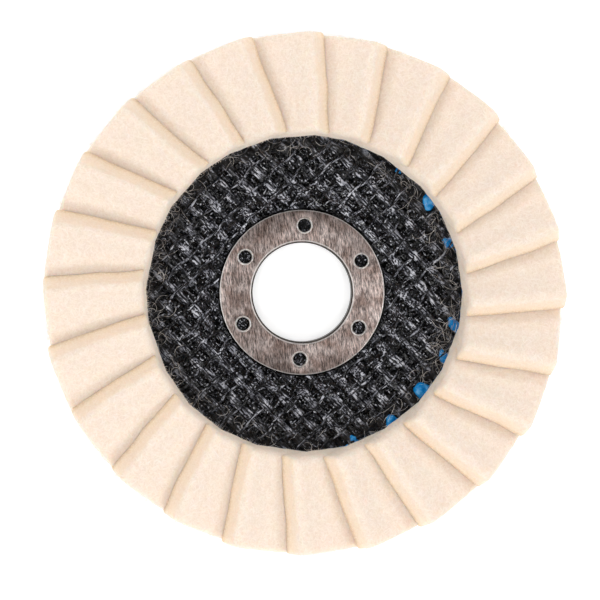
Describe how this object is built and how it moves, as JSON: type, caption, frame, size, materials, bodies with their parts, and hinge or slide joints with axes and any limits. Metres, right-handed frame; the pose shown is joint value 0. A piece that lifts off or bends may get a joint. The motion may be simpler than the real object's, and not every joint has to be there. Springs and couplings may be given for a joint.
{
  "type": "felt flap disc",
  "caption": "Round angle-grinder polishing disc: overlapping felt flaps glued to a dished glass-fibre backing plate with a steel centre ring.",
  "frame": {"origin": "centre of the bore at the hub's rear face, which lies on the XY plane", "axes": "+Z is the spin axis and points out of the working (felt) face; +Y is the picture's up"},
  "size_m": [0.1154, 0.1154, 0.0212],
  "materials": {
    "glass_ply": "woven glass rovings at 45 degrees, set in black glossy resin",
    "resin_core": "black grainy moulding resin",
    "steel_ring": "scratched stamped steel, warm grey",
    "adhesive": "glossy saturated blue glue",
    "felt": "cream wool felt, a little darker and streaked on its cut sides"
  },
  "bodies": {
    "root": {"rear_mesh_ply": "glass_ply", "resin_core": "resin_core", "front_mesh_ply": "glass_ply", "centre_ring": "steel_ring", "adhesive_bed": "adhesive", "flap_01": "felt", "flap_02": "felt", "flap_03": "felt", "flap_04": "felt", "flap_05": "felt", "flap_06": "felt", "flap_07": "felt", "flap_08": "felt", "flap_09": "felt", "flap_10": "felt", "flap_11": "felt", "flap_12": "felt", "flap_13": "felt", "flap_14": "felt", "flap_15": "felt", "flap_16": "felt", "flap_17": "felt", "flap_18": "felt", "flap_19": "felt", "flap_20": "felt", "flap_21": "felt", "flap_22": "felt", "flap_23": "felt", "flap_24": "felt"}
  },
  "joints": []
}
